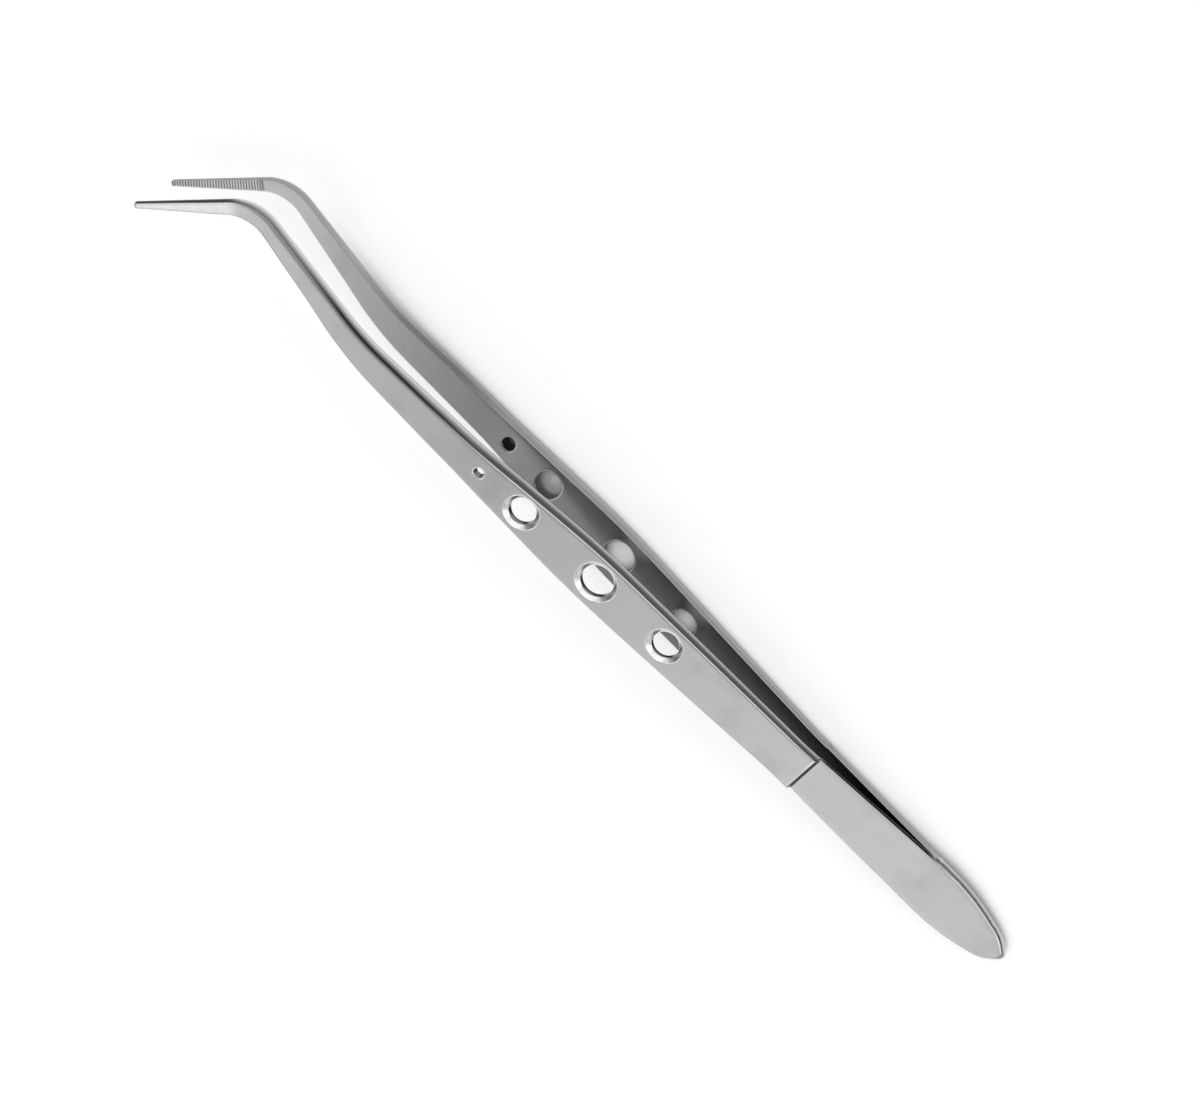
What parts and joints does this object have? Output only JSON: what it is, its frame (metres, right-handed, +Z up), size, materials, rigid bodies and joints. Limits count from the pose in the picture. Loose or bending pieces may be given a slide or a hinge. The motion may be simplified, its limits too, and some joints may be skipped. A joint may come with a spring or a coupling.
{
  "type": "cotton pliers",
  "caption": "Sprung steel cotton pliers with angled serrated jaws, countersunk finger holes in flat handles and a pointed welded heel.",
  "frame": {"origin": "on the flat outer face of the lower handle, midway between its rear and middle finger holes; this face lies on the table", "axes": "+X along the pliers from the heel to the jaws, +Z up and away from the table, which is the opening direction, +Y to the side that the jaws bend to"},
  "size_m": [0.1522, 0.0135, 0.0156],
  "materials": {
    "satin_stainless": "fine satin, bead blasted",
    "ground_weld": "ground flush and satin finished"
  },
  "bodies": {
    "heel": {"heel_upper_half": "satin_stainless", "heel_lower_half": "satin_stainless", "heel_weld": "ground_weld"},
    "upper_arm": {"upper_arm": "satin_stainless"},
    "lower_arm": {"lower_arm": "satin_stainless"}
  },
  "joints": [
    {"name": "upper_arm_squeeze", "type": "hinge", "parent": "heel", "child": "upper_arm", "pos_m": [-0.05185, 0, 0.00208], "axis": [0, 1, 0], "range_deg": [0, 2], "stiffness_Nm_per_rad": 2},
    {"name": "lower_arm_squeeze", "type": "hinge", "parent": "heel", "child": "lower_arm", "pos_m": [-0.05185, 0, 0.00208], "axis": [0, 1, 0], "range_deg": [-2, 0], "stiffness_Nm_per_rad": 2}
  ],
  "couplings": [
    {"joint": "lower_arm_squeeze", "follows": "upper_arm_squeeze", "ratio": -1}
  ]
}
